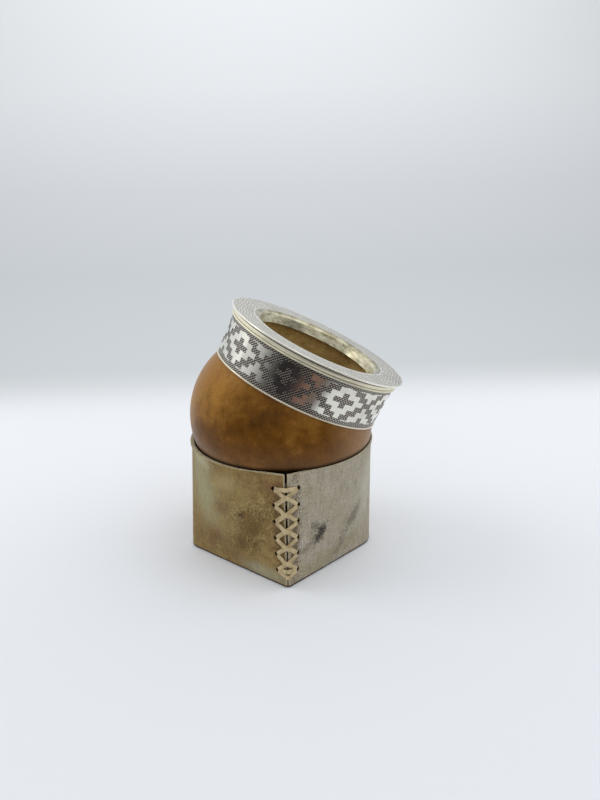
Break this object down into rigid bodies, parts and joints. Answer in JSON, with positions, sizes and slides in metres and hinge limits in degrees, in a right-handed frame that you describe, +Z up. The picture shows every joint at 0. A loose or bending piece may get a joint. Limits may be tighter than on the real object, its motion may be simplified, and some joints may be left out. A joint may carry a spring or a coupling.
{
  "type": "mate gourd cup in stand",
  "caption": "Hollow gourd cup for mate with an engraved metal collar and a wide flat mouth ring, leaning in a square-footed rawhide stand laced up one corner.",
  "frame": {"origin": "middle of the stand's foot, on the surface it stands on", "axes": "+Z up; the laced corner of the stand faces -Y; the cup leans towards +X"},
  "size_m": [0.1013, 0.0939, 0.1208],
  "materials": {
    "gourd": "satin dried gourd skin, brown with orange patches",
    "collar_metal": "nickel silver, polished where raised and matted between",
    "rawhide": "stiff untanned hide, matt, stained",
    "lace": "pale rawhide strip"
  },
  "bodies": {
    "root": {"gourd_shell": "gourd", "collar_wire": "collar_metal", "collar_band": "collar_metal", "collar_moulding": "collar_metal", "collar_flange": "collar_metal", "collar_throat": "collar_metal", "stand_hide": "rawhide", "stand_lace": "lace"}
  },
  "joints": []
}
